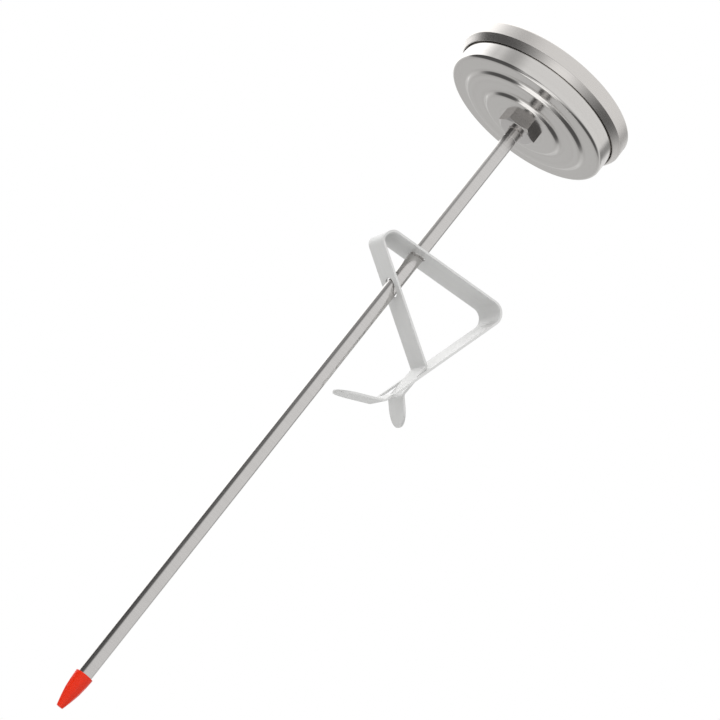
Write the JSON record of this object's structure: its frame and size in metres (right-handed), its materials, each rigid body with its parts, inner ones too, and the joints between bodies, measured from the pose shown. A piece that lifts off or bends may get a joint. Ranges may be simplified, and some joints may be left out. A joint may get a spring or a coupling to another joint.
{
  "type": "dial probe thermometer",
  "caption": "Dial probe thermometer: long thin pointed stem, round glazed head on a hexagon nut, bent-strip clip that slides on the stem and soft cap over the point.",
  "frame": {"origin": "centre of the hexagon nut's underside, where the stem leaves the head", "axes": "+Z along the stem towards the dial, +Y to twelve o'clock on the dial, +X towards the clip's corner"},
  "size_m": [0.0529, 0.052, 0.2116],
  "materials": {
    "satin_stem": "ground stainless steel, satin, finely lined along the stem",
    "polished_nut": "polished stainless steel",
    "polished_case": "drawn stainless steel, polished",
    "satin_bezel": "drawn stainless steel, fine satin",
    "clip_steel": "spring stainless strip, dull satin",
    "window_glass": "clear flat glass",
    "silver_dial": "silver-grey painted aluminium with black print",
    "seal_rubber": "black rubber, matt",
    "fibre_washer": "pressed fibre",
    "spacer_aluminium": "plain aluminium strip",
    "movement_brass": "turned brass",
    "spring_steel": "tempered spring steel",
    "bimetal_strip": "rolled bimetal strip",
    "pointer_red": "red enamel paint",
    "hub_cream": "cream moulded plastic",
    "cap_red": "soft red vinyl, glossy"
  },
  "bodies": {
    "stem": {"stem_tube": "satin_stem", "stem_point": "satin_stem", "hex_nut": "polished_nut", "hub_washer": "fibre_washer", "friction_spring": "spring_steel", "retaining_collar": "movement_brass", "top_bearing": "movement_brass", "bimetal_helix": "bimetal_strip", "guide_bush_1": "movement_brass", "guide_bush_2": "movement_brass", "guide_bush_3": "movement_brass"},
    "head": {"rear_case": "polished_case", "bezel_ring": "satin_bezel", "glass_lens": "window_glass", "lens_gasket": "seal_rubber", "dial_plate": "silver_dial", "dial_seat": "spacer_aluminium", "dial_spacer": "spacer_aluminium"},
    "movement": {"pointer_shaft": "spring_steel", "helix_head": "movement_brass", "pointer_collet": "movement_brass", "pointer": "pointer_red", "pointer_cap": "hub_cream"},
    "clip": {"pan_clip": "clip_steel"},
    "cap": {"tip_cap": "cap_red"}
  },
  "joints": [
    {"name": "head_turn", "type": "hinge", "parent": "stem", "child": "head", "pos_m": [0, 0, 0], "axis": [0, 0, 1], "continuous": true},
    {"name": "pointer_turn", "type": "hinge", "parent": "stem", "child": "movement", "pos_m": [0, 0, 0], "axis": [0, 0, -1], "range_deg": [-10, 292], "stiffness_Nm_per_rad": 0.0026},
    {"name": "clip_slide", "type": "slide", "parent": "stem", "child": "clip", "axis": [0, 0, 1], "range_m": [-0.126, 0.043]},
    {"name": "cap_pull", "type": "slide", "parent": "stem", "child": "cap", "axis": [0, 0, -1], "range_m": [0, 0.03]}
  ]
}
